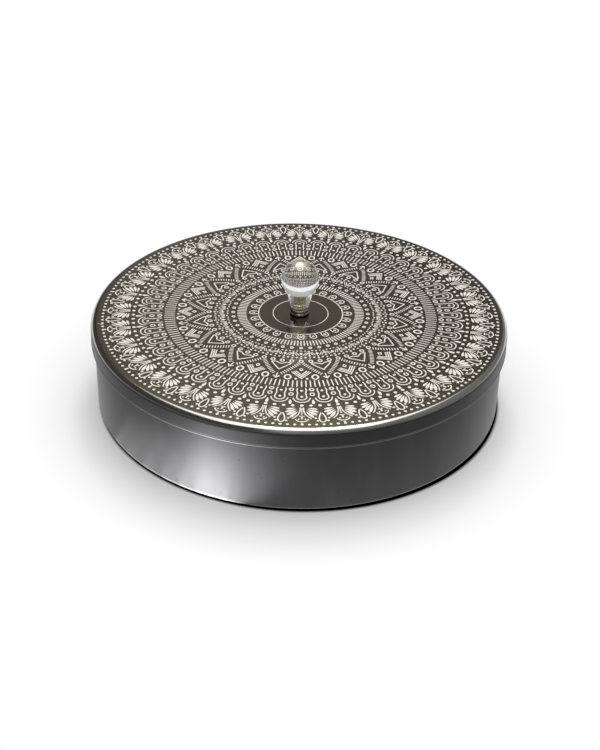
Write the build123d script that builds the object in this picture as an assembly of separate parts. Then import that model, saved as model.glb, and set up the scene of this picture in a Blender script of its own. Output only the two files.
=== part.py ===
"""Round stainless steel spice box: a pan with seven cups and a small spoon under a lift-off lid.

The frame's origin is the middle of the pan's underside, with +Z up. Sizes are in millimetres.
The lid carries a clear ball knob, held from below by one screw.
"""

import os
from math import asin, atan2, cos, degrees, hypot, radians, sin, sqrt

from build123d import *

# Driving dimensions of the box
LID_TOP = 48.1          # height of the lid's flat top above the table
LID_RADIUS = 109.8      # outside of the lid's skirt
PAN_RADIUS = 108.2      # outside of the pan's wall
PAN_HEIGHT = 47.0       # up to the rim, where the lid's rounded shoulder sits on it
SHEET = 0.7             # sheet steel of the pan and the lid
SKIRT_HEIGHT = 9.7      # from the lid's top down to the skirt's edge
SHOULDER = 3.2          # outside radius where the lid's top turns into the skirt
PAN_CORNER = 3.5        # outside radius round the pan's underside
LID_HEM_RADIUS = 0.55   # curled edge at the foot of the skirt
PAN_HEM_DEPTH = 3.5     # the pan's wall is folded in double over this depth at the rim

# Driving dimensions of the cups
CUP_COUNT = 6           # cups in the ring, round one in the middle
CUP_RADIUS = 35.0       # outside of a cup's curled rim
CUP_HEIGHT = 34.0
CUP_SHEET = 0.6
CUP_BEAD = 0.8          # radius of the curl's section
CUP_FOOT_RADIUS = 32.4  # outside of the wall at the foot
CUP_CORNER = 5.0
CUP_SPACING = 71.0      # centre cup to ring cup, which is also ring cup to ring cup
FIRST_CUP_ANGLE = 30.0  # the spoon points at 0 degrees, between two cups

# Driving dimensions of the knob, upwards from the lid's top
BALL_RADIUS = 10.0
BALL_CENTRE = 20.8
NECK_TOP = 13.9
NECK_TOP_RADIUS = 7.2
NECK_FOOT_RADIUS = 4.8
NECK_FILLET = 1.5
FERRULE_RADIUS = 5.05
FERRULE_TOP = 3.9
FERRULE_FLOOR = 0.8
FERRULE_BAND = 0.9      # straight band at the ferrule's foot
GASKET_RADIUS = 4.8
GASKET_HEIGHT = 0.7
SPIGOT_RADIUS = 3.8     # the knob's foot, which sits in the ferrule
FIT_GAP = 0.05          # radial room between pieces that slide together

# Driving dimensions of the screw and its insert
SCREW_RADIUS = 1.95
SCREW_HEAD_RADIUS = 4.0
SCREW_HEAD_HEIGHT = 2.6
SCREW_REACH = 10.0      # above the lid's top
CROSS_LENGTH = 4.4
CROSS_WIDTH = 0.9
CROSS_DEPTH = 1.5
WASHER_RADIUS = 6.0
WASHER_HEIGHT = 0.8
INSERT_RADIUS = 2.95
INSERT_TOP = 13.0
THREAD_BORE = 2.0
SCREW_HOLE = 2.2

# Driving dimensions of the spoon, which leans in the middle cup
SPOON_BOWL_RADIUS = 10.0
SPOON_CURVE = 14.0      # outside radius of the bowl's curve
SPOON_SHEET = 0.8
SPOON_REACH = 62.0      # from the bowl's middle to where the handle crosses the cup's rim
SPOON_OVERHANG = 5.0    # handle beyond that
HANDLE_NECK = 2.2       # half the handle's width beside the bowl
HANDLE_TIP = 3.8        # half its width at the end
SPOON_GAP = 0.7         # between the spoon and the cup

# Heights that follow from them
LID_UNDERSIDE = LID_TOP - SHEET
SKIRT_FOOT = LID_TOP - SKIRT_HEIGHT
CUP_TOP = SHEET + CUP_HEIGHT


def turned(points, fillets=()):
    """A solid of revolution about Z from (radius, height) points, with some corners rounded.

    fillets holds (corner's point, radius) pairs."""
    outline = make_face(Polyline(*points, close=True))
    for corner, radius in fillets:
        nearest = min(outline.vertices(), key=lambda v: hypot(v.X - corner[0], v.Y - corner[1]))
        outline = fillet(nearest, radius)
    return revolve(Plane.XZ * outline, Axis.Z)


def drum(radius, low, high):
    """A plain cylinder about Z between two heights."""
    return Pos(0, 0, low) * Cylinder(radius, high - low, align=(Align.CENTER, Align.CENTER, Align.MIN))


def pan():
    """The deep-drawn pan, with its rim folded inwards."""
    outside = turned(
        [(0, 0), (PAN_RADIUS, 0), (PAN_RADIUS, PAN_HEIGHT), (0, PAN_HEIGHT)],
        [((PAN_RADIUS, 0), PAN_CORNER)],
    )
    wall = PAN_RADIUS - SHEET
    hem = wall - SHEET
    hem_foot = PAN_HEIGHT - PAN_HEM_DEPTH
    above = PAN_HEIGHT + 1
    inside = turned(
        [(0, SHEET), (wall, SHEET), (wall, hem_foot - SHEET), (hem, hem_foot), (hem, above), (0, above)],
        [((wall, SHEET), PAN_CORNER - SHEET)],
    )
    shell = outside - inside
    rim = shell.edges().filter_by_position(Axis.Z, PAN_HEIGHT, PAN_HEIGHT)
    return fillet(rim, SHEET * 0.6)


def lid():
    """The pressed lid: a flat top, a rounded shoulder and a short skirt with a curled edge."""
    outside = turned(
        [(0, SKIRT_FOOT), (LID_RADIUS, SKIRT_FOOT), (LID_RADIUS, LID_TOP), (0, LID_TOP)],
        [((LID_RADIUS, LID_TOP), SHOULDER)],
    )
    wall = LID_RADIUS - SHEET
    below = SKIRT_FOOT - 1
    inside = turned(
        [(0, below), (wall, below), (wall, LID_UNDERSIDE), (0, LID_UNDERSIDE)],
        [((wall, LID_UNDERSIDE), SHOULDER - SHEET)],
    )
    hem = Pos(0, 0, SKIRT_FOOT) * Torus(LID_RADIUS - SHEET / 2, LID_HEM_RADIUS)
    return outside - inside + hem - drum(SCREW_HOLE, LID_UNDERSIDE - 1, LID_TOP + 1)


def knob_gasket():
    """Thin black washer between the knob's ferrule and the lid."""
    ring = drum(GASKET_RADIUS, 0, GASKET_HEIGHT) - drum(SCREW_HOLE, -1, GASKET_HEIGHT + 1)
    return Pos(0, 0, LID_TOP) * ring


def knob_ferrule():
    """Turned metal collar that the knob's foot stands in."""
    foot = GASKET_HEIGHT
    shoulder = foot + FERRULE_BAND
    body = turned(
        [
            (0, foot),
            (FERRULE_RADIUS, foot),
            (FERRULE_RADIUS, shoulder),
            (NECK_FOOT_RADIUS, FERRULE_TOP),
            (0, FERRULE_TOP),
        ],
        [((FERRULE_RADIUS, foot), 0.25), ((FERRULE_RADIUS, shoulder), 0.4)],
    )
    pocket = drum(SPIGOT_RADIUS + FIT_GAP, foot + FERRULE_FLOOR, FERRULE_TOP + 1)
    return Pos(0, 0, LID_TOP) * (body - pocket - drum(SCREW_HOLE, -1, FERRULE_TOP))


def knob():
    """Clear ball knob: a ball on a tapered neck, bored from below for its insert."""
    spigot_foot = GASKET_HEIGHT + FERRULE_FLOOR
    neck = turned(
        [(0, FERRULE_TOP), (NECK_FOOT_RADIUS, FERRULE_TOP), (NECK_TOP_RADIUS, NECK_TOP), (0, NECK_TOP)],
    )
    ball = Pos(0, 0, BALL_CENTRE) * Sphere(BALL_RADIUS)
    body = neck + ball
    crease = body.edges().filter_by_position(Axis.Z, FERRULE_TOP + 1, BALL_CENTRE - 1)
    body = fillet(crease.filter_by(GeomType.CIRCLE), NECK_FILLET)
    body += drum(SPIGOT_RADIUS, spigot_foot, FERRULE_TOP)
    return Pos(0, 0, LID_TOP) * (body - drum(INSERT_RADIUS + FIT_GAP, -1, INSERT_TOP + FIT_GAP))


def knob_insert():
    """Brass bush in the knob, with a blind bore for the screw."""
    foot = GASKET_HEIGHT + FERRULE_FLOOR
    bush = drum(INSERT_RADIUS, foot, INSERT_TOP) - drum(THREAD_BORE, -1, SCREW_REACH + 1)
    return Pos(0, 0, LID_TOP) * bush


def screw_washer():
    """Flat washer under the screw's head, inside the lid."""
    low = LID_UNDERSIDE - WASHER_HEIGHT
    return drum(WASHER_RADIUS, low, LID_UNDERSIDE) - drum(SCREW_HOLE, low - 1, LID_TOP)


def lid_screw():
    """Pan-head screw with a cross recess, driven up from inside the lid."""
    seat = LID_UNDERSIDE - WASHER_HEIGHT
    low = seat - SCREW_HEAD_HEIGHT
    head = turned(
        [(0, low), (SCREW_HEAD_RADIUS, low), (SCREW_HEAD_RADIUS, seat), (0, seat)],
        [((SCREW_HEAD_RADIUS, low), 1.2)],
    )
    shank = drum(SCREW_RADIUS, seat, LID_TOP + SCREW_REACH)
    shank = chamfer(shank.edges().group_by(Axis.Z)[-1], 0.4)
    slot = Pos(0, 0, low) * Box(CROSS_LENGTH, CROSS_WIDTH, 2 * CROSS_DEPTH)
    return head + shank - slot - Rot(0, 0, 90) * slot


def cup():
    """One spice cup, standing at the frame's origin: a drawn wall with a curled rim."""
    wall_top = CUP_RADIUS - 2 * CUP_BEAD + 0.2
    outside = turned(
        [(0, 0), (CUP_FOOT_RADIUS, 0), (wall_top, CUP_HEIGHT - CUP_BEAD), (0, CUP_HEIGHT - CUP_BEAD)],
        [((CUP_FOOT_RADIUS, 0), CUP_CORNER)],
    )
    inside = turned(
        [
            (0, CUP_SHEET),
            (CUP_FOOT_RADIUS - CUP_SHEET, CUP_SHEET),
            (wall_top - CUP_SHEET, CUP_HEIGHT + 1),
            (0, CUP_HEIGHT + 1),
        ],
        [((CUP_FOOT_RADIUS - CUP_SHEET, CUP_SHEET), CUP_CORNER - CUP_SHEET)],
    )
    bead = Pos(0, 0, CUP_HEIGHT - CUP_BEAD) * Torus(CUP_RADIUS - CUP_BEAD, CUP_BEAD)
    return outside - inside + bead


def flat_spoon():
    """The spoon lying along X: its bowl's rim is in the XY plane, centred on the origin."""
    curve_height = sqrt(SPOON_CURVE**2 - SPOON_BOWL_RADIUS**2)
    outer = Pos(0, 0, curve_height) * Sphere(SPOON_CURVE)
    inner = Pos(0, 0, curve_height) * Sphere(SPOON_CURVE - SPOON_SHEET)
    below = Pos(0, 0, -SPOON_CURVE) * Box(4 * SPOON_CURVE, 4 * SPOON_CURVE, 2 * SPOON_CURVE)
    bowl = (outer & below) - inner
    start = SPOON_BOWL_RADIUS - 2.0
    end = SPOON_REACH + SPOON_OVERHANG - HANDLE_TIP
    sides = make_face(
        Polyline((start, -HANDLE_NECK), (end, -HANDLE_TIP), (end, HANDLE_TIP), (start, HANDLE_NECK), close=True)
    )
    tip = Pos(end, 0) * Circle(HANDLE_TIP)
    handle = extrude(sides + tip, -SPOON_SHEET)
    return bowl + (handle - (outer & below))


def spoon_lean():
    """The angle at which the spoon leans, from its bowl's foot on the cup's floor to the cup's rim."""
    floor = SHEET + CUP_SHEET + SPOON_GAP
    rim = CUP_TOP + SPOON_GAP + SPOON_SHEET
    curve_height = sqrt(SPOON_CURVE**2 - SPOON_BOWL_RADIUS**2)
    drop = rim - floor - SPOON_CURVE
    reach = hypot(SPOON_REACH, curve_height)
    return degrees(asin(drop / reach)) + degrees(atan2(curve_height, SPOON_REACH))


def spoon():
    """The spoon leaning in the middle cup, its handle across the rim on the +X side."""
    lean = spoon_lean()
    crossing_x = CUP_RADIUS - CUP_BEAD
    crossing_z = CUP_TOP + SPOON_GAP + SPOON_SHEET / cos(radians(lean))
    bowl_x = crossing_x - SPOON_REACH * cos(radians(lean))
    bowl_z = crossing_z - SPOON_REACH * sin(radians(lean))
    return Pos(bowl_x, 0, bowl_z) * Rot(0, -lean, 0) * flat_spoon()


def cups():
    """The seven cups by name, each in its place on the pan's floor."""
    one = cup()
    placed = {"cup_centre": Pos(0, 0, SHEET) * one}
    for i in range(CUP_COUNT):
        angle = radians(FIRST_CUP_ANGLE + 360 / CUP_COUNT * i)
        place = Pos(CUP_SPACING * cos(angle), CUP_SPACING * sin(angle), SHEET)
        placed[f"cup_{i + 1}"] = place * one
    return placed


def main():
    pieces = {
        "pan": pan(),
        "lid": lid(),
        "knob": knob(),
        "knob_insert": knob_insert(),
        "knob_ferrule": knob_ferrule(),
        "knob_gasket": knob_gasket(),
        "lid_screw": lid_screw(),
        "screw_washer": screw_washer(),
        "spoon": spoon(),
        **cups(),
    }
    os.makedirs("parts", exist_ok=True)
    for name, piece in pieces.items():
        export_step(piece, f"parts/{name}.step")


main()
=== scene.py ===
"""A round stainless steel spice box: every visible surface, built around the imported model.

The lid and the pan are spun shells, the pattern on the lid is a set of thin raised shapes, and the
knob is a clear ball on a tapered neck with its brass bush inside. Sizes in the code are millimetres
until a mesh is made. Angle 0 on the lid is its front, nearest to the camera.
"""

from math import asin, cos, degrees, hypot, pi, radians, sin, tau

import bpy
from bpy.props import FloatProperty, FloatVectorProperty, IntProperty, PointerProperty
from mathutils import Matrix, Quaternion, Vector


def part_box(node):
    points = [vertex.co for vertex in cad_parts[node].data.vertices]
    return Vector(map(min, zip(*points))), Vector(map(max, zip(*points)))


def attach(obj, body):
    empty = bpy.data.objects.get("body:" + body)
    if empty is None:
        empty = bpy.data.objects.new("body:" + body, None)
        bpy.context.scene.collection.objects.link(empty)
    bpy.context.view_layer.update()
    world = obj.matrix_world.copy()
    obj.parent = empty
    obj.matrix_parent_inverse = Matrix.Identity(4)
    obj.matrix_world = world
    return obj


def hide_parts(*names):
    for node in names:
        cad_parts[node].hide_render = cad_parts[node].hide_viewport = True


bl_info = {
    "name": "Spice Box",
    "version": (1, 0, 0),
    "blender": (4, 5, 0),
    "location": "3D View > Sidebar > Spice Box",
    "description": "Builds a round steel spice box with a patterned lid, seven cups and a spoon",
    "category": "Object",
}

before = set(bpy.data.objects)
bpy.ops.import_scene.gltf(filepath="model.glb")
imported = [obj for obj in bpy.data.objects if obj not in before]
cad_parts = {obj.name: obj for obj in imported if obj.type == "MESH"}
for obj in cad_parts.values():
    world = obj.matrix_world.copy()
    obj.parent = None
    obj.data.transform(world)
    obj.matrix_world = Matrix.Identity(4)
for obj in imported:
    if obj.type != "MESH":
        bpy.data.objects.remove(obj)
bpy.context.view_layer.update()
MM = 0.001


def extent(node, corner, axis):
    """One coordinate of a node's box, in millimetres: corner 0 is the lowest and 1 the highest."""
    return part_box(node)[corner][axis] / MM


def srgb(code):
    """An sRGB hex colour as linear red, green and blue."""
    channels = [int(code[i : i + 2], 16) / 255 for i in (1, 3, 5)]
    return [c / 12.92 if c <= 0.04045 else ((c + 0.055) / 1.055) ** 2.4 for c in channels]


# Sizes that the frame gives
LID_EDGE = extent("lid", 1, 0)
LID_TOP = extent("lid", 1, 2)
LID_FOOT = extent("lid", 0, 2)
PAN_RADIUS = extent("pan", 1, 0)
PAN_TOP = extent("pan", 1, 2)
CUP_FLOOR = extent("cup_centre", 0, 2)
CUP_HEIGHT = extent("cup_centre", 1, 2) - CUP_FLOOR
CUP_RADIUS = extent("cup_centre", 1, 0)
KNOB_TOP = extent("knob", 1, 2)
BALL_RADIUS = extent("knob", 1, 0)
FERRULE_FOOT = extent("knob_ferrule", 0, 2)
FERRULE_TOP = extent("knob_ferrule", 1, 2)
FERRULE_RADIUS = extent("knob_ferrule", 1, 0)
GASKET_RADIUS = extent("knob_gasket", 1, 0)
INSERT_FOOT = extent("knob_insert", 0, 2)
INSERT_TOP = extent("knob_insert", 1, 2)
INSERT_RADIUS = extent("knob_insert", 1, 0)
WASHER_LOW = extent("screw_washer", 0, 2)
WASHER_TOP = extent("screw_washer", 1, 2)
WASHER_RADIUS = extent("screw_washer", 1, 0)

# Sizes inside those boxes
SHEET = 0.7
CUP_SHEET = 0.6
SCREW_HOLE = 2.2
SHOULDER = 3.2
HEM = 0.55
PAN_CORNER = 3.5
PAN_FOLD = 3.5  # how far the pan's rim is folded down inside
CUP_FOOT = 32.4
CUP_CORNER = 5.0
CUP_BEAD = 0.8
NECK_FOOT = 4.8
NECK_TOP = LID_TOP + 13.9
PRINT_TURN = 1.1  # degrees by which the pattern is turned from the lid's front
PRINT_SHIFT = 0.6  # how far the pattern lies to one side on the lid
PRINT_ROOT = 0.05  # how deep the pattern's shapes reach into the lid

# The brushed finish that the pan and the lid's skirt share
SATIN_ROUGHNESS = 0.42
SATIN_SMEAR = 0.35
BRUSH_GAP = 0.35  # between turning lines; the real grit marks, 0.05 mm apart, would not show


class SpiceBoxSizes(bpy.types.PropertyGroup):
    """Sizes that change the look and not the fit."""

    relief: FloatProperty(
        name="Pattern relief", description="How far the pattern stands above the lid",
        default=0.00003, min=0.00001, max=0.0002, precision=5, unit="LENGTH",
    )
    weight: FloatProperty(
        name="Line weight", description="How bold the pattern's drawn lines are, 1 as on the box",
        default=1.0, min=0.4, max=1.5, subtype="FACTOR",
    )
    round_segments: IntProperty(
        name="Round segments", description="Sides round the lid, the pan and the cups",
        default=256, min=48, max=512,
    )
    knurls: IntProperty(
        name="Bush knurls", description="Teeth round the brass bush in the knob", default=24, min=8, max=60
    )


class SpiceBoxColours(bpy.types.PropertyGroup):
    """Colours of the finishes."""

    satin: FloatVectorProperty(
        name="Satin steel", description="Drawn and satin-brushed steel of the pan", subtype="COLOR",
        default=srgb("#3c3c3d"), min=0, max=1,
    )
    mirror: FloatVectorProperty(
        name="Mirror steel", description="Dark polished ground of the lid", subtype="COLOR",
        default=srgb("#746e60"), min=0, max=1,
    )
    etched: FloatVectorProperty(
        name="Etched steel", description="Pale frosted metal of the pattern", subtype="COLOR",
        default=srgb("#f1ece1"), min=0, max=1,
    )
    cup_steel: FloatVectorProperty(
        name="Cup steel", description="Bright steel of the cups and the spoon", subtype="COLOR",
        default=srgb("#b4b4b2"), min=0, max=1,
    )
    brass: FloatVectorProperty(
        name="Brass", description="Pale plated brass of the bush in the knob", subtype="COLOR",
        default=srgb("#cfc7a8"), min=0, max=1,
    )
    floor: FloatVectorProperty(
        name="Floor", description="Plain pale floor", subtype="COLOR", default=srgb("#fafafa"), min=0, max=1
    )


def arc(centre_r, centre_z, radius, start, end, steps=8):
    """Points of an arc in a section, in (radius, height); angles in degrees from the outward side."""
    span = [radians(start + (end - start) * i / steps) for i in range(steps + 1)]
    return [(centre_r + radius * cos(a), centre_z + radius * sin(a)) for a in span]


def new_object(name, vertices, faces, sharp=35):
    """A mesh object from points in millimetres, shaded smooth with edges sharper than an angle kept."""
    mesh = bpy.data.meshes.new(name)
    mesh.from_pydata([(x * MM, y * MM, z * MM) for x, y, z in vertices], [], faces)
    mesh.validate()
    mesh.polygons.foreach_set("use_smooth", [True] * len(mesh.polygons))
    mesh.set_sharp_from_angle(angle=radians(sharp))
    obj = bpy.data.objects.new(name, mesh)
    bpy.context.scene.collection.objects.link(obj)
    return obj


def spun(name, section, segments, flute=None):
    """A closed solid of revolution from a section of (radius, height) points, listed anticlockwise.

    Points at radius 0 become one vertex. flute(angle, radius, height) may change a radius."""
    vertices = []
    rows = []
    for r, z in section:
        count = 1 if r < 1e-6 else segments
        rows.append([len(vertices) + i for i in range(count)])
        for i in range(count):
            a = tau * i / segments
            rr = flute(a, r, z) if flute and count > 1 else r
            vertices.append((rr * cos(a), rr * sin(a), z))
    faces = []
    for low, high in zip(rows, rows[1:] + rows[:1]):
        if len(low) == 1 and len(high) == 1:
            continue
        for i in range(segments):
            j = (i + 1) % segments
            corners = [low[i % len(low)], low[j % len(low)], high[j % len(high)], high[i % len(high)]]
            faces.append(list(dict.fromkeys(corners)))
    return new_object(name, vertices, faces)


def dress(obj, material, body, slot, *nodes):
    """Gives a piece its material and body, and hides the CAD nodes that it stands for. slot is not used."""
    obj.data.materials.clear()
    obj.data.materials.append(material)
    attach(obj, body)
    if nodes:
        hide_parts(*nodes)
    return obj


def new_material(name):
    """An empty node material and its output node."""
    material = bpy.data.materials.new(name)
    material.use_nodes = True
    material.node_tree.nodes.clear()
    return material, material.node_tree, material.node_tree.nodes.new("ShaderNodeOutputMaterial")


def add(tree, kind, values=None, **settings):
    """Adds a shader node with its settings, and sets or links its inputs."""
    node = tree.nodes.new("ShaderNode" + kind)
    for name, value in settings.items():
        setattr(node, name, value)
    for name, value in (values or {}).items():
        if isinstance(value, bpy.types.NodeSocket):
            tree.links.new(value, node.inputs[name])
        else:
            node.inputs[name].default_value = value
    return node


def lathe_lines(tree, spacing, along=0.02):
    """A vector whose third part runs down walls and out over floors, so that noise on it makes lines.

    spacing is the distance between lines in millimetres, and along how much it changes round the piece."""
    place = add(tree, "TexCoord").outputs["Object"]
    axes = add(tree, "SeparateXYZ", {0: place})
    flat = add(tree, "CombineXYZ", {0: axes.outputs[0], 1: axes.outputs[1], 2: 0.0})
    radius = add(tree, "VectorMath", {0: flat.outputs[0]}, operation="LENGTH").outputs["Value"]
    down = add(tree, "Math", {0: axes.outputs[2], 1: radius}, operation="ADD").outputs[0]
    per_metre = 1 / (spacing * MM)
    change = (per_metre * along,) * 3
    scaled = add(tree, "VectorMath", {0: flat.outputs[0], 1: change}, operation="MULTIPLY")
    lines = add(tree, "Math", {0: down, 1: per_metre}, operation="MULTIPLY").outputs[0]
    upright = add(tree, "CombineXYZ", {2: lines})
    return add(tree, "VectorMath", {0: scaled.outputs[0], 1: upright.outputs[0]}, operation="ADD").outputs[0]


def turning_lines(tree, gap, rough=0.5):
    """Noise that runs in lines round a piece, as turning and brushing leave them, a gap in mm apart."""
    values = {"Vector": lathe_lines(tree, gap), "Scale": 1.0, "Detail": 4.0, "Roughness": rough}
    return add(tree, "TexNoise", values).outputs["Fac"]


def line_relief(tree, lines, strength):
    """Turning lines as relief, 0.02 mm deep at full strength."""
    return add(tree, "Bump", {"Strength": strength, "Distance": 0.02 * MM, "Height": lines}).outputs[0]


def finish_metal(tree, output, colour, roughness, relief, smear=None):
    """A metal surface. Where smear is given, its reflections are drawn out across the turning lines."""
    values = {"Base Color": colour, "Metallic": 1.0, "Roughness": roughness, "Normal": relief}
    if smear is not None:
        values["Anisotropic"] = smear
        values["Anisotropic Rotation"] = 0.25
        values["Tangent"] = add(tree, "Tangent", direction_type="RADIAL", axis="Z").outputs[0]
    shader = add(tree, "BsdfPrincipled", values)
    tree.links.new(shader.outputs[0], output.inputs["Surface"])


def metal(name, colour, roughness, gap=BRUSH_GAP, grain=0.15, smear=None, smudge=0.05):
    """Steel or brass with fine turning lines and faint smudges.

    grain is how much the lines change the colour, and smudge how much the roughness changes."""
    material, tree, output = new_material(name)
    place = add(tree, "TexCoord").outputs["Object"]
    lines = turning_lines(tree, gap, 0.65)
    # a scale of 22 gives smudges 45 mm wide
    cloud = add(tree, "TexNoise", {"Vector": place, "Scale": 22.0, "Detail": 3.0, "Roughness": 0.5})
    tone = add(tree, "MapRange", {"Value": lines, "From Min": 0.3, "From Max": 0.7,
                                  "To Min": 1 - grain, "To Max": 1 + grain})
    tint = add(tree, "VectorMath", {0: (*colour[:3],), 1: tone.outputs["Result"]}, operation="MULTIPLY")
    gloss = add(tree, "MapRange", {"Value": cloud.outputs["Fac"], "From Min": 0.35, "From Max": 0.65,
                                   "To Min": roughness - smudge, "To Max": roughness + smudge})
    relief = line_relief(tree, lines, 0.12)
    finish_metal(tree, output, tint.outputs[0], gloss.outputs["Result"], relief, smear)
    return material


def height_share(tree, low, high):
    """How far up a height lies between two heights in millimetres, from 0 to 1, smoothly."""
    place = add(tree, "TexCoord").outputs["Object"]
    height = add(tree, "SeparateXYZ", {0: place}).outputs["Z"]
    return add(tree, "MapRange", {"Value": height, "From Min": low * MM, "From Max": high * MM},
               interpolation_type="SMOOTHSTEP").outputs["Result"]


def blend(tree, share, below, above):
    """A colour between two linear colours."""
    mix = add(tree, "Mix", {0: share}, data_type="RGBA", clamp_factor=True)
    for socket, value in ((mix.inputs[6], below), (mix.inputs[7], above)):
        if isinstance(value, bpy.types.NodeSocket):
            tree.links.new(value, socket)
        else:
            socket.default_value = (*value[:3], 1)
    return mix.outputs[2]


def shaded(colour, factor):
    """A linear colour made lighter or darker."""
    return [c * factor for c in colour[:3]]


def satin_colour_and_painted_sheen(tree, colour, top):
    """Satin steel with a painted reflection of the bright floor beside the wall: a little paler towards the
    foot, with faint upright mottling 12 mm wide and specks of dirt under 1 mm."""
    place = add(tree, "TexCoord").outputs["Object"]
    # painted reflection: the colour runs from 1.35 times the satin at the foot to 0.85 times at the top,
    # standing in for the bright floor shining in the lower wall
    share = height_share(tree, 0, top)
    base = blend(tree, share, shaded(colour, 1.35), shaded(colour, 0.85))
    upright = add(tree, "VectorMath", {0: place, 1: (1, 1, 0.35)}, operation="MULTIPLY").outputs[0]
    mottle = add(tree, "TexNoise", {"Vector": upright, "Scale": 1 / (12 * MM), "Detail": 3.0})
    tone = add(tree, "MapRange", {"Value": mottle.outputs["Fac"], "From Min": 0.3, "From Max": 0.7,
                                  "To Min": 0.9, "To Max": 1.1}).outputs["Result"]
    dirt = add(tree, "TexNoise", {"Vector": place, "Scale": 1 / (2.2 * MM), "Detail": 1.0}).outputs["Fac"]
    clean = add(tree, "MapRange", {"Value": dirt, "From Min": 0.2, "From Max": 0.26, "To Min": 0.7,
                                   "To Max": 1.0}).outputs["Result"]
    tone = add(tree, "Math", {0: tone, 1: clean}, operation="MULTIPLY").outputs[0]
    return add(tree, "VectorMath", {0: base, 1: tone}, operation="MULTIPLY").outputs[0]


def satin_steel(context):
    """Stainless steel, deep drawn and satin brushed round and round: reflections smear up and down."""
    material, tree, output = new_material("satin_brushed_steel")
    colour = satin_colour_and_painted_sheen(tree, context.scene.spice_box_colours.satin, PAN_TOP)
    relief = line_relief(tree, turning_lines(tree, BRUSH_GAP), 0.05)
    finish_metal(tree, output, colour, SATIN_ROUGHNESS, relief, SATIN_SMEAR)
    return material


def lid_steel(context):
    """Stainless steel, mirror polished on top to a dark clear ground, buffed smooth round the shoulder with
    a painted highlight band in its colour there, and satin on the skirt, with a painted highlight along the
    curled edge."""
    material, tree, output = new_material("mirror_polished_steel")
    colours = context.scene.spice_box_colours
    skirt = satin_colour_and_painted_sheen(tree, shaded(colours.satin, 0.8), LID_TOP)
    curl_top = LID_FOOT + 2 * HEM
    # painted highlight: the upper part of the curled edge is coloured 2.6 times paler than the satin, as
    # light catching on it
    painted_curl_highlight = height_share(tree, curl_top + 0.3, curl_top - 0.1)
    skirt = blend(tree, painted_curl_highlight, skirt, shaded(colours.satin, 2.6))
    # the wheel starts to bite 2.2 mm under the top and smooths the shoulder fully from 1 mm under it; the
    # same band takes a pale colour as a painted highlight
    shoulder = height_share(tree, LID_TOP - 2.2, LID_TOP - 1.0)
    top = height_share(tree, LID_TOP - 0.12, LID_TOP - 0.01)
    place = add(tree, "TexCoord").outputs["Object"]
    cloud = add(tree, "TexNoise", {"Vector": place, "Scale": 1 / (40 * MM), "Detail": 3.0}).outputs["Fac"]
    tone = add(tree, "MapRange", {"Value": cloud, "From Min": 0.3, "From Max": 0.7, "To Min": 0.9,
                                  "To Max": 1.1}).outputs["Result"]
    ground = add(tree, "VectorMath", {0: (*colours.mirror,), 1: tone}, operation="MULTIPLY").outputs[0]
    # painted highlight: the shoulder band is coloured a pale #c4c2bd to widen the bright band of light on it
    buffed = blend(tree, shoulder, skirt, srgb("#c4c2bd"))
    colour = blend(tree, top, buffed, ground)
    gloss = add(tree, "MapRange", {"Value": shoulder, "To Min": SATIN_ROUGHNESS, "To Max": 0.17})
    smear = add(tree, "MapRange", {"Value": shoulder, "To Min": SATIN_SMEAR, "To Max": 0.0})
    relief = line_relief(tree, turning_lines(tree, BRUSH_GAP), 0.04)
    finish_metal(tree, output, colour, gloss.outputs["Result"], relief, smear.outputs["Result"])
    return material


def bright_steel(context):
    """Stainless steel, buffed: soft bright reflections with turning lines."""
    return metal("buffed_steel", context.scene.spice_box_colours.cup_steel, 0.24, smear=0.4)


def turned_brass(context):
    """Brass, turned, knurled and thinly plated: pale, warm and bright with fine lines across it."""
    return metal("turned_brass", context.scene.spice_box_colours.brass, 0.25, gap=0.2)


def etched_steel(context):
    """Steel frosted by acid: pale and almost matte, with a fine tooth that scatters light."""
    material, tree, output = new_material("acid_etched_steel")
    place = add(tree, "TexCoord").outputs["Object"]
    # The real tooth is about 0.02 mm across; 0.15 mm is the finest that shows.
    tooth = add(tree, "TexNoise", {"Vector": place, "Scale": 1 / (0.15 * MM), "Detail": 2.0})
    # a scale of 30 gives clouds 33 mm wide
    cloud = add(tree, "TexNoise", {"Vector": place, "Scale": 30.0, "Detail": 2.0})
    mixed = add(tree, "Math", {0: tooth.outputs["Fac"], 1: cloud.outputs["Fac"]}, operation="ADD")
    tone = add(tree, "MapRange", {"Value": mixed.outputs[0], "From Min": 0.7, "From Max": 1.3,
                                  "To Min": 0.9, "To Max": 1.06})
    colour = (*context.scene.spice_box_colours.etched,)
    tint = add(tree, "VectorMath", {0: colour, 1: tone.outputs["Result"]}, operation="MULTIPLY")
    relief = add(tree, "Bump", {"Strength": 0.2, "Distance": 0.02 * MM, "Height": tooth.outputs["Fac"]})
    shader = add(tree, "BsdfPrincipled", {"Base Color": tint.outputs[0], "Metallic": 0.3, "Roughness": 0.5,
                                          "Normal": relief.outputs[0]})
    tree.links.new(shader.outputs[0], output.inputs["Surface"])
    return material


def clear_acrylic(context):
    """Cast and polished acrylic: water-clear, with a faint moulding ripple that bends reflections."""
    material, tree, output = new_material("polished_acrylic")
    place = add(tree, "TexCoord").outputs["Object"]
    # a scale of 140 gives ripples 7 mm long
    ripple = add(tree, "TexNoise", {"Vector": place, "Scale": 140.0, "Detail": 1.0})
    relief = add(tree, "Bump", {"Strength": 0.08, "Distance": 0.2 * MM, "Height": ripple.outputs["Fac"]})
    shader = add(tree, "BsdfPrincipled", {"Base Color": (*srgb("#fbfcfb"), 1), "Roughness": 0.02,
                                          "IOR": 1.49, "Transmission Weight": 0.97,
                                          "Normal": relief.outputs[0]})
    tree.links.new(shader.outputs[0], output.inputs["Surface"])
    return material


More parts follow.
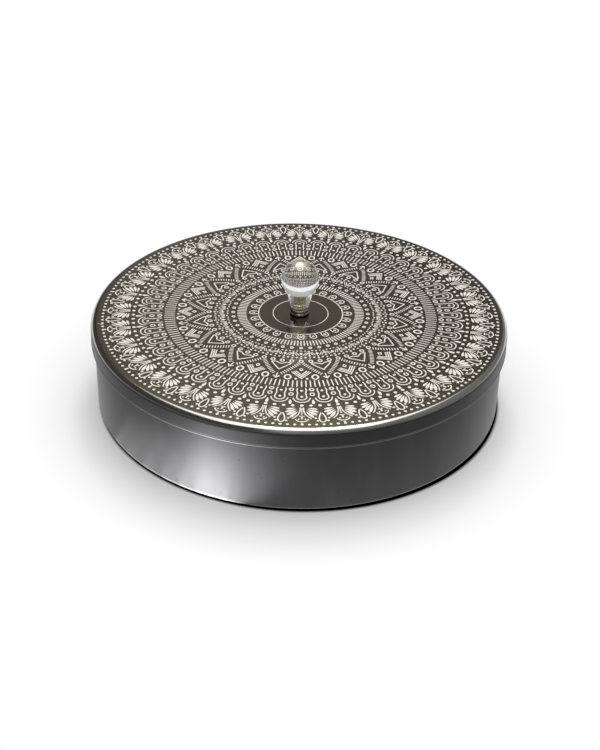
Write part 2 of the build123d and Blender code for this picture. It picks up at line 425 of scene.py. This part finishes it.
def black_fibre(context):
    """Vulcanised fibre washer: black, matte and slightly fibrous."""
    material, tree, output = new_material("vulcanised_fibre")
    place = add(tree, "TexCoord").outputs["Object"]
    fibre = add(tree, "TexNoise", {"Vector": place, "Scale": 1 / (0.3 * MM), "Detail": 3.0})
    tone = add(tree, "MapRange", {"Value": fibre.outputs["Fac"], "To Min": 0.006, "To Max": 0.03})
    relief = add(tree, "Bump", {"Strength": 0.3, "Distance": 0.03 * MM, "Height": fibre.outputs["Fac"]})
    shader = add(tree, "BsdfPrincipled", {"Base Color": tone.outputs["Result"], "Roughness": 0.75,
                                          "Normal": relief.outputs[0]})
    tree.links.new(shader.outputs[0], output.inputs["Surface"])
    return material


class Pattern:
    """One piece of the lid's pattern: flat shapes, each a thin closed prism standing on the lid.

    A shape is drawn about a spot on the lid, given by the angle from the front and the radius; u runs
    round the lid there and v outwards. The bands below give a radius as a share of the lid's edge."""

    def __init__(self, sizes):
        self.vertices = []
        self.faces = []
        self.low = LID_TOP - PRINT_ROOT
        self.high = LID_TOP + sizes.relief / MM
        self.weight = sizes.weight

    def place(self, angle, radius, points):
        """Points about a spot, as points on the lid. It mirrors them: points that run anticlockwise in the
        drawing run clockwise on the lid, so the faces of filled and outlined shapes look inwards."""
        a = radians(angle + PRINT_TURN)
        return [(PRINT_SHIFT + (radius + v) * sin(a) + u * cos(a), -(radius + v) * cos(a) + u * sin(a))
                for u, v in points]

    def wall(self, outline):
        """Two rows of vertices round an outline, low and high."""
        first = len(self.vertices)
        count = len(outline)
        self.vertices += [(x, y, self.low) for x, y in outline] + [(x, y, self.high) for x, y in outline]
        return list(range(first, first + count)), list(range(first + count, first + 2 * count))

    def band(self, a, b):
        """Faces between two closed rows of vertices."""
        count = len(a)
        for i in range(count):
            j = (i + 1) % count
            self.faces.append((a[i], a[j], b[j], b[i]))

    def filled(self, angle, radius, points):
        """A filled shape; its points run anticlockwise."""
        low, high = self.wall(self.place(angle, radius, points))
        self.band(low, high)
        self.faces.append(tuple(high))
        self.faces.append(tuple(reversed(low)))

    def outlined(self, angle, radius, points, width):
        """The outline of a closed shape, drawn inwards from its points."""
        inner = offset(points, -width * self.weight, True)
        low, high = self.wall(self.place(angle, radius, points))
        low_in, high_in = self.wall(self.place(angle, radius, inner))
        self.band(low, high)
        self.band(high, high_in)
        self.band(high_in, low_in)
        self.band(low_in, low)

    def stroke(self, angle, radius, points, width):
        """A line of even width along open points."""
        half = width * self.weight / 2
        side = offset(points, half, False)
        other = offset(points, -half, False)
        low, high = self.wall(self.place(angle, radius, other + side[::-1]))
        self.band(low, high)
        count = len(points)
        for i in range(count - 1):
            a, b, c, d = i, i + 1, 2 * count - 2 - i, 2 * count - 1 - i
            self.faces.append((high[a], high[b], high[c], high[d]))
            self.faces.append((low[d], low[c], low[b], low[a]))

    def finish(self, name):
        """The band as an object."""
        return new_object(name, self.vertices, self.faces, sharp=30)


def offset(points, distance, closed):
    """Points moved sideways by a distance, to the right of their direction, with mitred corners."""
    count = len(points)
    moved = []
    for i, (x, y) in enumerate(points):
        before = points[i - 1] if closed or i else points[i]
        after = points[(i + 1) % count] if closed or i < count - 1 else points[i]
        normals = []
        for (x0, y0), (x1, y1) in ((before, (x, y)), ((x, y), after)):
            length = hypot(x1 - x0, y1 - y0)
            if length > 1e-9:
                normals.append(((y1 - y0) / length, -(x1 - x0) / length))
        nx = sum(n[0] for n in normals) / len(normals)
        ny = sum(n[1] for n in normals) / len(normals)
        square = max(nx * nx + ny * ny, 0.3)
        moved.append((x + distance * nx / square, y + distance * ny / square))
    return moved


def ellipse(half_width, half_height, u=0.0, v=0.0, sides=12):
    """An ellipse round (u, v), anticlockwise."""
    turns = [tau * i / sides for i in range(sides)]
    return [(u + half_width * cos(t), v + half_height * sin(t)) for t in turns]


def drop(width, length, sides=20):
    """A teardrop from its point at (0, 0) to its round end at v = length, anticlockwise."""
    fullest = 0.77  # the greatest value of sin(t) * sin(t / 2)
    turns = [tau * i / sides for i in range(sides)]
    return [(width / 2 / fullest * sin(t) * abs(sin(t / 2)), length * (1 - cos(t)) / 2) for t in turns]


def leaf(root, tip, width):
    """A filled petal from its root to its tip, widest near the tip."""
    (u0, v0), (u1, v1) = root, tip
    length = hypot(u1 - u0, v1 - v0)
    along = ((u1 - u0) / length, (v1 - v0) / length)
    across = (-along[1], along[0])
    shape = [(0.0, 0.0), (0.3, 0.28), (0.6, 0.46), (0.82, 0.42), (0.96, 0.2), (1.0, 0.0)]
    right = [(s, -w) for s, w in shape]
    left = [(s, w) for s, w in shape[-2:0:-1]]
    placed = [(s * length, w * width) for s, w in right + left]
    return [(u0 + s * along[0] + w * across[0], v0 + s * along[1] + w * across[1]) for s, w in placed]


def mirrored(points):
    """Points on the other side of the spot's own line, still anticlockwise."""
    return [(-u, v) for u, v in reversed(points)]


def evenly(count, shift=0.0):
    """Angles in degrees, evenly round the lid from the front."""
    return [360 / count * (i + shift) for i in range(count)]


def dots(sizes, radius, count, size):
    """A ring of round dots."""
    pattern = Pattern(sizes)
    for angle in evenly(count):
        pattern.filled(angle, radius, ellipse(size / 2, size / 2, sides=10))
    return pattern


def ringlets(sizes, radius, count, width, height, line):
    """A ring of small open rings."""
    pattern = Pattern(sizes)
    for angle in evenly(count):
        pattern.outlined(angle, radius, ellipse(width / 2, height / 2, sides=16), line)
    return pattern


def hatch(sizes, inner, outer, count, width):
    """A ring of short lines that point at the centre."""
    pattern = Pattern(sizes)
    for angle in evenly(count):
        pattern.stroke(angle, inner, [(0, 0), (0, outer - inner)], width)
    return pattern


def circle_line(sizes, radius, width):
    """One thin ring right round the lid."""
    pattern = Pattern(sizes)
    pattern.outlined(0, 0, ellipse(radius + width / 2, radius + width / 2, sides=192), width)
    return pattern


def border_of_fans(sizes):
    """The outermost band: outlined drops between fans of petals, with dots round them."""
    pattern = Pattern(sizes)
    edge = LID_EDGE
    for angle in evenly(32, 0.5):
        pattern.outlined(angle, 0.8496 * edge, drop(3.9, 9.1), 0.65)
        for side in (-1, 1):
            for u, share in ((3.2, 0.898), (2.5, 0.919)):
                pattern.filled(angle, share * edge, ellipse(0.65, 0.65, side * u, sides=8))
    for angle in evenly(32):
        foot = 0.8184 * edge
        pattern.stroke(angle, foot, [(0, 0), (0, 6.0)], 0.5)
        pattern.stroke(angle, foot, [(-1.3, 7.2), (1.3, 7.2)], 0.6)
        pattern.stroke(angle, foot, [(0, 7.2), (0, 9.6)], 0.8)
        rim = [(3.0 * cos(radians(a)), 9.6 + 2.2 * sin(radians(a))) for a in range(180, -1, -20)]
        pattern.stroke(angle, foot, rim, 0.65)
        pattern.filled(angle, foot + 13.0, ellipse(0.5, 0.5, sides=8))
        for side in (-1, 1):
            pattern.filled(angle, foot + 9.7, ellipse(0.5, 0.5, side * 1.6, sides=8))
            curve = ((0.75, 0), (0.85, 2.2), (1.2, 4.2), (2.0, 6.2), (3.4, 8.1), (4.6, 9.2))
            pattern.stroke(angle, foot, [(side * u, v) for u, v in curve], 0.6)
            petals = [leaf((1.9, 3.2), (5.7, 8.2), 1.7), leaf((2.2, 2.3), (7.2, 6.1), 1.8),
                      leaf((2.5, 1.4), (7.9, 3.6), 1.7), leaf((2.7, 0.4), (7.4, 1.1), 1.4)]
            for petal in petals:
                pattern.filled(angle, foot, petal if side > 0 else mirrored(petal))
    return pattern


def border_of_arches(sizes):
    """The second band: an arch over a waisted loop with two dots, and two ringlets between loops."""
    pattern = Pattern(sizes)
    edge = LID_EDGE
    loop_half = [(1.9, 0.0), (2.3, 1.6), (2.1, 3.2), (1.9, 4.6),
                 (2.2, 6.2), (2.45, 7.6), (2.2, 9.0), (1.3, 10.0)]
    loop = [(-u, v) for u, v in loop_half] + [(0, 10.35)] + loop_half[::-1]
    arch = [(4.1 * cos(radians(a)), 4.1 * sin(radians(a))) for a in range(180, -1, -15)]
    for angle in evenly(48):
        pattern.stroke(angle, 0.7405 * edge, arch, 0.6)
        pattern.stroke(angle, 0.6645 * edge, loop, 0.6)
        for share in (0.733, 0.685):
            pattern.filled(angle, share * edge, ellipse(0.75, 0.75, sides=10))
    for angle in evenly(48, 0.5):
        pattern.filled(angle, 0.754 * edge, drop(1.6, 4.1, 8))
        pattern.outlined(angle, 0.713 * edge, ellipse(1.3, 1.5, sides=14), 0.6)
        pattern.outlined(angle, 0.676 * edge, ellipse(1.3, 1.4, sides=14), 0.65)
    return pattern


def border_of_chevrons(sizes):
    """The third band: nested chevrons and outlined hearts in turn, with ladders of strokes between."""
    pattern = Pattern(sizes)
    edge = LID_EDGE
    for angle in evenly(16):
        for top, foot, half in ((0.5855, 0.531, 4.8), (0.5705, 0.526, 3.8), (0.5555, 0.521, 2.8)):
            pattern.stroke(angle, 0, [(-half, foot * edge), (0, top * edge), (half, foot * edge)], 0.6)
        diamond = [(1.25, 0), (0, 1.5), (-1.25, 0), (0, -1.5)]
        pattern.outlined(angle, 0.5115 * edge, diamond, 0.55)
        for side in (-1, 1):
            pattern.outlined(angle + side * 6.15, 0.575 * edge, ellipse(1.95, 2.4, sides=18), 0.85)
            pattern.filled(angle + side * 2.5, 0.5875 * edge, ellipse(0.7, 0.7, sides=10))
    for angle in evenly(16, 0.5):
        pattern.stroke(angle, 0, [(-1.6, 0.571 * edge), (0, 0.5885 * edge), (1.6, 0.571 * edge)], 0.65)
        pattern.stroke(angle, 0, [(0, 0.548 * edge), (0, 0.581 * edge)], 0.6)
        heart = [(0, 7.2), (-5.3, 0.5), (-4.6, -0.3), (-2.7, -0.5), (-1.0, 0.5), (0, 1.0),
                 (1.0, 0.5), (2.7, -0.5), (4.6, -0.3), (5.3, 0.5)]
        pattern.outlined(angle, 0.4565 * edge, heart, 0.6)
        for side in (-1, 1):
            ladder(pattern, angle, side)
    return pattern


def ladder(pattern, angle, side):
    """Ten short strokes across a line that runs down beside a heart to the next chevrons' foot."""
    edge = LID_EDGE
    start = (radians(1.9), 0.5505 * edge)
    end = (radians(9.9), 0.4605 * edge)
    rungs = 10
    for i in range(rungs):
        share = i / (rungs - 1)
        turn = side * (start[0] + (end[0] - start[0]) * share)
        radius = start[1] + (end[1] - start[1]) * share
        lean = side * 0.95
        pattern.stroke(angle + degrees(turn), radius, [(-lean * 0.75, -0.75), (lean * 0.75, 0.75)], 0.5)


def border_of_diamonds(sizes):
    """The fourth band: small diamonds in a lattice of dots and short strokes."""
    pattern = Pattern(sizes)
    edge = LID_EDGE
    for angle in evenly(32):
        pattern.filled(angle, 0.376 * edge, [(0.85, 0), (0, 1.25), (-0.85, 0), (0, -1.25)])
        for share, size in ((0.4145, 0.62), (0.3995, 0.5), (0.352, 0.5)):
            pattern.filled(angle, share * edge, ellipse(size, size, sides=8))
        for side in (-1, 1):
            pattern.filled(angle + side * 2.8, 0.4085 * edge, ellipse(0.6, 0.6, sides=8))
            pattern.filled(angle + side * 2.9, 0.351 * edge, ellipse(0.45, 0.45, sides=8))
            for gap in (0.0, 1.15):
                run = [(side * (0.95 + gap), 3.6), (side * (2.7 + gap * 0.7), 0.6 + gap * 0.3)]
                pattern.stroke(angle, 0.358 * edge, run, 0.42)
    for angle in evenly(32, 0.5):
        for share, size in ((0.4125, 0.5), (0.394, 0.62), (0.3555, 0.5)):
            pattern.filled(angle, share * edge, ellipse(size, size, sides=8))
        pattern.stroke(angle, 0.364 * edge, [(0, 0), (0, 2.2)], 0.6)
    return pattern


def loops_round_centre(sizes):
    """The innermost band: round loops with a dot, standing on the circle round the bare middle."""
    pattern = Pattern(sizes)
    foot = 0.2045 * LID_EDGE
    loop = [(1.7 * cos(radians(a)), 2.3 + 2.2 * sin(radians(a))) for a in range(215, -36, -10)]
    for angle in evenly(24):
        pattern.stroke(angle, foot, [(-1.2, 0.2)] + loop + [(1.2, 0.2)], 0.55)
        pattern.outlined(angle, foot + 2.3, ellipse(0.75, 0.75, sides=10), 0.45)
    return pattern


def rim_scratch(sizes):
    """A short crooked scratch across the left of the lid's rim, with a few crumbs of bright metal."""
    pattern = Pattern(sizes)
    angle, radius = -82, 104.2
    scratch = [(0.9, 0.2), (0.3, 0.9), (-0.3, 0.5), (-0.2, 1.5)]
    crumbs = [(-0.4, 1.6), (-0.9, 2.3)], [(0.5, -0.5), (0.9, 0.0)]
    for run in (scratch, *crumbs):
        pattern.stroke(angle, radius, run, 0.22)
    return pattern


class SPICEBOX_OT_pattern(bpy.types.Operator):
    """Build the etched ring ornament on the lid"""

    bl_idname = "spicebox.pattern"
    bl_label = "Lid Pattern"

    def execute(self, context):
        sizes = context.scene.spice_box_sizes
        edge = LID_EDGE
        material = etched_steel(context)
        bands = {
            "pattern_rim_dots": dots(sizes, 0.9465 * edge, 192, 1.5),
            "pattern_fans": border_of_fans(sizes),
            "pattern_bead_dots": dots(sizes, 0.8015 * edge, 128, 1.8),
            "pattern_arches": border_of_arches(sizes),
            "pattern_outer_hatch": hatch(sizes, 0.603 * edge, 0.6537 * edge, 200, 0.6),
            "pattern_chevrons": border_of_chevrons(sizes),
            "pattern_outer_ringlets": ringlets(sizes, 0.4405 * edge, 64, 2.5, 2.8, 0.6),
            "pattern_diamonds": border_of_diamonds(sizes),
            "pattern_inner_ringlets": ringlets(sizes, 0.3245 * edge, 48, 2.0, 2.1, 0.6),
            "pattern_inner_hatch": hatch(sizes, 0.2617 * edge, 0.3045 * edge, 120, 0.62),
            "pattern_loops": loops_round_centre(sizes),
            "pattern_circle": circle_line(sizes, 0.2023 * edge, 0.5),
            "pattern_inner_circle": circle_line(sizes, 0.1325 * edge, 0.4),
            "rim_scratch": rim_scratch(sizes),
        }
        for name, band in bands.items():
            dress(band.finish(name), material, "lid", "lid_steel")
        return {"FINISHED"}


class SPICEBOX_OT_lid(bpy.types.Operator):
    """Build the lid: a polished pressing with a rounded shoulder and a curled edge"""

    bl_idname = "spicebox.lid"
    bl_label = "Lid"

    def execute(self, context):
        sizes = context.scene.spice_box_sizes
        wall = LID_EDGE - HEM + SHEET / 2
        foot = LID_FOOT + HEM
        under = LID_TOP - SHEET
        section = [(SCREW_HOLE, under)]
        section += arc(wall - SHOULDER, LID_TOP - SHOULDER, SHOULDER - SHEET, 90, 0, 10)
        section += arc(wall - SHEET / 2, foot, HEM, 130, 410, 16)
        section += arc(wall - SHOULDER, LID_TOP - SHOULDER, SHOULDER, 0, 90, 14)
        section += [(SCREW_HOLE, LID_TOP)]
        shell = spun("lid_shell", section, sizes.round_segments)
        dress(shell, lid_steel(context), "lid", "lid_steel", "lid")
        return {"FINISHED"}


class SPICEBOX_OT_pan(bpy.types.Operator):
    """Build the pan: a deep-drawn satin wall with a folded rim"""

    bl_idname = "spicebox.pan"
    bl_label = "Pan"

    def execute(self, context):
        sizes = context.scene.spice_box_sizes
        inside = PAN_RADIUS - SHEET
        hem = inside - SHEET
        section = [(0, 0)]
        section += arc(PAN_RADIUS - PAN_CORNER, PAN_CORNER, PAN_CORNER, -90, 0, 12)
        section += arc(PAN_RADIUS - SHEET, PAN_TOP - SHEET, SHEET, 0, 180, 12)
        section += [(hem, PAN_TOP - PAN_FOLD), (inside, PAN_TOP - PAN_FOLD - SHEET)]
        section += arc(PAN_RADIUS - PAN_CORNER, PAN_CORNER, PAN_CORNER - SHEET, 0, -90, 8)
        section += [(0, SHEET)]
        shell = spun("pan_shell", section, sizes.round_segments)
        dress(shell, satin_steel(context), "pan", "pan_steel", "pan")
        return {"FINISHED"}


class SPICEBOX_OT_cups(bpy.types.Operator):
    """Build the seven cups, each with a rounded foot and a curled rim"""

    bl_idname = "spicebox.cups"
    bl_label = "Cups"

    def execute(self, context):
        sizes = context.scene.spice_box_sizes
        material = bright_steel(context)
        turn = CUP_FOOT - CUP_CORNER
        section = [(0, 0)]
        section += arc(turn, CUP_CORNER, CUP_CORNER, -90, -3, 8)
        section += arc(CUP_RADIUS - CUP_BEAD, CUP_HEIGHT - CUP_BEAD, CUP_BEAD, -110, 160, 14)
        section += arc(turn, CUP_CORNER, CUP_CORNER - CUP_SHEET, -3, -90, 8)
        section += [(0, CUP_SHEET)]
        names = ["cup_centre"] + [f"cup_{i}" for i in range(1, 7)]
        for name in names:
            low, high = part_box(name)
            cup = spun(name + "_shell", section, sizes.round_segments // 2)
            cup.location = ((low.x + high.x) / 2, (low.y + high.y) / 2, low.z)
            dress(cup, material, name, "cup_steel", name)
        return {"FINISHED"}


class SPICEBOX_OT_knob(bpy.types.Operator):
    """Build the clear knob with its brass bush, metal collar and black washer"""

    bl_idname = "spicebox.knob"
    bl_label = "Knob"

    def execute(self, context):
        self.ball(context)
        self.bush(context)
        self.collar()
        self.washer(context)
        return {"FINISHED"}

    def ball(self, context):
        """The ball and its neck in one piece, hollow where the bush sits."""
        centre = KNOB_TOP - BALL_RADIUS
        play = 0.05
        bore, bore_top = INSERT_RADIUS + play, INSERT_TOP + play
        mouth = 3.8
        crease = degrees(asin((NECK_TOP - centre) / BALL_RADIUS))
        section = [(0, bore_top), (bore, bore_top), (bore, INSERT_FOOT), (mouth, INSERT_FOOT)]
        section += [(mouth, FERRULE_TOP), (NECK_FOOT, FERRULE_TOP)]
        # a small fillet joins the neck to the ball
        section += [(7.0, NECK_TOP - 0.5), (7.15, NECK_TOP - 0.1)]
        section += arc(0, centre, BALL_RADIUS, crease + 1.5, 90, 40)[:-1] + [(0, KNOB_TOP)]
        dress(spun("knob_ball", section, 96), clear_acrylic(context), "lid", "clear_knob", "knob")

    def bush(self, context):
        """The knurled brass bush, with a groove round its middle."""
        knurls = context.scene.spice_box_sizes.knurls
        low, high = INSERT_FOOT, INSERT_TOP
        middle = (low + high) / 2
        crest, groove, thread = INSERT_RADIUS - 0.02, INSERT_RADIUS - 0.5, 2.0
        tooth = 0.14  # half of a tooth's depth

        def knurl(angle, radius, height):
            toothed = radius > INSERT_RADIUS - 0.3 and low + 0.8 < height < high - 0.6
            return radius - (tooth * (1 + cos(knurls * angle)) if toothed else 0.0)

        section = [(thread, low), (INSERT_RADIUS - 0.15, low), (crest, low + 0.6), (crest, low + 0.9)]
        section += [(crest, middle - 0.7), (groove, middle - 0.4)]
        section += [(groove, middle + 0.4), (crest, middle + 0.7), (crest, high - 0.7)]
        section += [(crest, high - 0.5), (INSERT_RADIUS - 0.2, high), (thread, high)]
        bush = spun("knob_bush", section, knurls * 8, knurl)
        dress(bush, turned_brass(context), "lid", "brass", "knob_insert")

    def collar(self):
        """The polished metal cup under the neck."""
        low, high = FERRULE_FOOT, FERRULE_TOP
        inside, base, foot, brim = 3.85, 0.8, 0.25, 0.35  # foot and brim are the radii of its two edges
        section = [(SCREW_HOLE, low)] + arc(FERRULE_RADIUS - foot, low + foot, foot, -90, 0, 4)
        section += arc(FERRULE_RADIUS - brim, low + 0.65, brim, 0, 60, 5)
        section += [(NECK_FOOT + 0.05, high - 0.1), (NECK_FOOT, high)]
        section += [(inside, high), (inside, low + base), (SCREW_HOLE, low + base)]
        polished = metal("polished_collar", srgb("#c9c8c4"), 0.12, grain=0.03, smudge=0.02)
        dress(spun("knob_collar", section, 96), polished, "lid", "ferrule_metal", "knob_ferrule")

    def washer(self, context):
        """The thin black washer between the collar and the lid."""
        edge = 0.15
        section = [(SCREW_HOLE, LID_TOP)] + arc(GASKET_RADIUS - edge, LID_TOP + edge, edge, -90, 0, 3)
        section += arc(GASKET_RADIUS - edge, FERRULE_FOOT - edge, edge, 0, 90, 3)
        section += [(SCREW_HOLE, FERRULE_FOOT)]
        dress(spun("knob_washer", section, 64), black_fibre(context), "lid", "black_fibre", "knob_gasket")


class SPICEBOX_OT_fixings(bpy.types.Operator):
    """Finish the screw and its washer under the lid"""

    bl_idname = "spicebox.fixings"
    bl_label = "Fixings"

    def execute(self, context):
        material = metal("zinc_plated_steel", srgb("#a9aaac"), 0.3, gap=0.25)
        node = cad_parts["lid_screw"]
        node.data.materials.clear()
        node.data.materials.append(material)
        low, high = 0.15, 0.25  # how round the washer's two edges are
        section = [(SCREW_HOLE, WASHER_LOW)] + arc(WASHER_RADIUS - low, WASHER_LOW + low, low, -90, 0, 3)
        section += arc(WASHER_RADIUS - high, WASHER_TOP - high, high, 0, 90, 4) + [(SCREW_HOLE, WASHER_TOP)]
        dress(spun("flat_washer", section, 96), material, "lid", "screw_steel", "screw_washer")
        return {"FINISHED"}


class SPICEBOX_OT_spoon(bpy.types.Operator):
    """Finish the small spoon that leans in the middle cup"""

    bl_idname = "spicebox.spoon"
    bl_label = "Spoon"

    def execute(self, context):
        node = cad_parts["spoon"]
        node.data.materials.clear()
        node.data.materials.append(metal("polished_spoon_steel", srgb("#bdbdbb"), 0.2, gap=0.5))
        return {"FINISHED"}


class SPICEBOX_OT_stage(bpy.types.Operator):
    """Build the floor, the lamps and the camera"""

    bl_idname = "spicebox.stage"
    bl_label = "Stage"

    def execute(self, context):
        self.floor(context)
        self.world(context)
        # size, place and aim in metres, power in watts
        self.lamp("overhead_softbox", "RECTANGLE", (0.95, 1.35), (0.0, 0.33, 1.0), (0.0, 0.33, 0.0), 7.2)
        self.lamp("window", "RECTANGLE", (0.22, 0.22), (0.03, 0.45, 0.9), (0.0, 0.0, 0.05), 2.6)
        # a bright patch of table beside the wall, of ellipses one over the other, so that it fades outwards
        place, above = (-0.063, -0.121, 0.0003), (-0.063, -0.121, 0.1)
        depth, turn = 0.08, 48
        rings = ((0.025, 0.06), (0.045, 0.07), (0.07, 0.065), (0.10, 0.05), (0.135, 0.04), (0.17, 0.03))
        for width, power in rings:
            self.lamp("table_glow", "ELLIPSE", (width, depth), place, above, power, turn)
        self.camera(context)
        context.scene.view_settings.view_transform = "Standard"
        return {"FINISHED"}

    def floor(self, context):
        """A pale floor that shows white away from the box, with its soft shadow and a painted black contact
        shadow round the pan's foot.
        """
        half = 6000
        corners = [(-half, -half, 0), (half, -half, 0), (half, half, 0), (-half, half, 0)]
        floor = new_object("floor", corners, [(0, 1, 2, 3)])
        material, tree, output = new_material("pale_floor")
        glow = add(tree, "Emission", {"Color": (1, 1, 1, 1), "Strength": 1.0})
        path = add(tree, "LightPath").outputs
        place = add(tree, "TexCoord").outputs["Object"]
        radius = add(tree, "VectorMath", {0: place}, operation="LENGTH").outputs["Value"]
        # the floor takes shadow from under the pan to 42 mm out from its wall, less and less
        near, far = 0.085, 0.150
        fade = add(tree, "MapRange", {"Value": radius, "From Min": near, "From Max": far}).outputs["Result"]
        # painted contact shadow: the floor's colour goes black in a ring where the pan meets the floor,
        # widest on the right
        gap, clear, off_centre = (PAN_RADIUS - 0.4) * MM, (PAN_RADIUS + 1.2) * MM, 0.8 * MM
        aside = add(tree, "VectorMath", {0: place, 1: (off_centre, 0, 0)}, operation="SUBTRACT").outputs[0]
        from_painted_shadow_centre = add(tree, "VectorMath", {0: aside}, operation="LENGTH").outputs["Value"]
        outside_painted_contact_shadow = add(tree, "MapRange", {"Value": from_painted_shadow_centre, "From Min": gap, "From Max": clear})
        outside_painted_contact_shadow = outside_painted_contact_shadow.outputs["Result"]
        # the white glow is taken out of that ring too, so that the painted contact shadow shows
        fade = add(tree, "Math", {0: fade, 1: outside_painted_contact_shadow}, operation="MULTIPLY").outputs[0]
        colour = (*context.scene.spice_box_colours.floor,)
        # painted contact shadow: the floor's colour is multiplied down to black in that ring
        pale = add(tree, "VectorMath", {0: colour, 1: outside_painted_contact_shadow}, operation="MULTIPLY").outputs[0]
        matte = add(tree, "BsdfDiffuse", {"Color": pale})
        share = add(tree, "Math", {0: fade, 1: path["Is Camera Ray"]}, operation="MULTIPLY").outputs[0]
        share = add(tree, "Math", {0: share, 1: path["Is Glossy Ray"]}, operation="ADD")
        share = add(tree, "Math", {0: share.outputs[0], 1: path["Is Transmission Ray"]}, operation="ADD",
                    use_clamp=True).outputs[0]
        mix = add(tree, "MixShader", {0: share, 1: matte.outputs[0], 2: glow.outputs[0]})
        tree.links.new(mix.outputs[0], output.inputs["Surface"])
        floor.data.materials.append(material)

    def world(self, context):
        """A room that is white low down, where the floor ends, and dim above."""
        world = bpy.data.worlds.new("studio_room")
        context.scene.world = world
        world.use_nodes = True
        tree = world.node_tree
        tree.nodes.clear()
        ray = add(tree, "TexCoord").outputs["Generated"]
        axes = add(tree, "SeparateXYZ", {0: ray})
        height = axes.outputs["Z"]
        # the room is lighter on the left
        dim = add(tree, "MapRange", {"Value": axes.outputs["X"], "From Min": -0.13, "From Max": 0.13,
                                     "To Min": 0.40, "To Max": 0.22}).outputs["Result"]
        # and a dark curtain hangs at its far left
        curtain = add(tree, "MapRange", {"Value": axes.outputs["X"], "From Min": -0.26, "From Max": -0.15,
                                         "To Min": 0.15, "To Max": 1.0}).outputs["Result"]
        dim = add(tree, "Math", {0: dim, 1: curtain}, operation="MULTIPLY").outputs[0]
        white_to, dim_from = sin(radians(2.5)), sin(radians(8))
        light = add(tree, "MapRange", {"Value": height, "From Min": white_to, "From Max": dim_from,
                                       "To Min": 1.0, "To Max": dim}).outputs["Result"]
        # seen through the clear knob, the room is pale on all sides
        pale = 0.5
        through = add(tree, "LightPath").outputs["Is Transmission Ray"]
        backdrop = add(tree, "Math", {0: through, 1: pale}, operation="MULTIPLY").outputs[0]
        light = add(tree, "Math", {0: light, 1: backdrop}, operation="MAXIMUM").outputs[0]
        back = add(tree, "Background", {"Color": (1, 1, 1, 1), "Strength": light})
        add(tree, "OutputWorld", {"Surface": back.outputs[0]})

    def lamp(self, name, shape, size, place, aim, power, turn=0.0):
        """A soft flat lamp at a place, aimed at a point and turned about its aim, unseen by the camera."""
        data = bpy.data.lights.new(name, "AREA")
        data.shape = shape
        data.size, data.size_y = size
        data.energy = power
        lamp = bpy.data.objects.new(name, data)
        lamp.location = place
        lamp.rotation_mode = "QUATERNION"
        aimed = (Vector(place) - Vector(aim)).to_track_quat("Z", "Y")
        lamp.rotation_quaternion = aimed @ Quaternion((0, 0, 1), radians(turn))
        lamp.visible_camera = False
        bpy.context.scene.collection.objects.link(lamp)

    def camera(self, context):
        """The photograph's view: a little over thirty degrees above the table and tilted a degree or so."""
        elevation = radians(32.49)
        tilt = radians(1.39)
        distance = 736.0
        aim = Vector((1.08, 0, 9.15)) * MM
        data = bpy.data.cameras.new("camera")
        data.lens = 64.75
        data.sensor_width = 36
        camera = bpy.data.objects.new("camera", data)
        camera.location = aim + Vector((0, -cos(elevation), sin(elevation))) * distance * MM
        camera.rotation_mode = "ZYX"
        camera.rotation_euler = (pi / 2 - elevation, 0, tilt)
        bpy.context.scene.collection.objects.link(camera)
        context.scene.camera = camera


OPERATORS = (
    SPICEBOX_OT_stage,
    SPICEBOX_OT_pan,
    SPICEBOX_OT_cups,
    SPICEBOX_OT_spoon,
    SPICEBOX_OT_lid,
    SPICEBOX_OT_pattern,
    SPICEBOX_OT_fixings,
    SPICEBOX_OT_knob,
)


class SPICEBOX_PT_panel(bpy.types.Panel):
    """Lists the sizes, the colours and the pieces"""

    bl_label = "Spice Box"
    bl_idname = "SPICEBOX_PT_panel"
    bl_space_type = "VIEW_3D"
    bl_region_type = "UI"
    bl_category = "Spice Box"

    def draw(self, context):
        for group in (context.scene.spice_box_sizes, context.scene.spice_box_colours):
            for name in group.__annotations__:
                self.layout.prop(group, name)
        for operator in OPERATORS:
            self.layout.operator(operator.bl_idname)


CLASSES = (SpiceBoxSizes, SpiceBoxColours, *OPERATORS, SPICEBOX_PT_panel)


def register():
    for cls in CLASSES:
        bpy.utils.register_class(cls)
    bpy.types.Scene.spice_box_sizes = PointerProperty(type=SpiceBoxSizes)
    bpy.types.Scene.spice_box_colours = PointerProperty(type=SpiceBoxColours)


def unregister():
    del bpy.types.Scene.spice_box_colours
    del bpy.types.Scene.spice_box_sizes
    for cls in reversed(CLASSES):
        bpy.utils.unregister_class(cls)


def main():
    register()
    for operator in OPERATORS:
        group, name = operator.bl_idname.split(".")
        getattr(getattr(bpy.ops, group), name)()


if __name__ == "__main__":
    main()
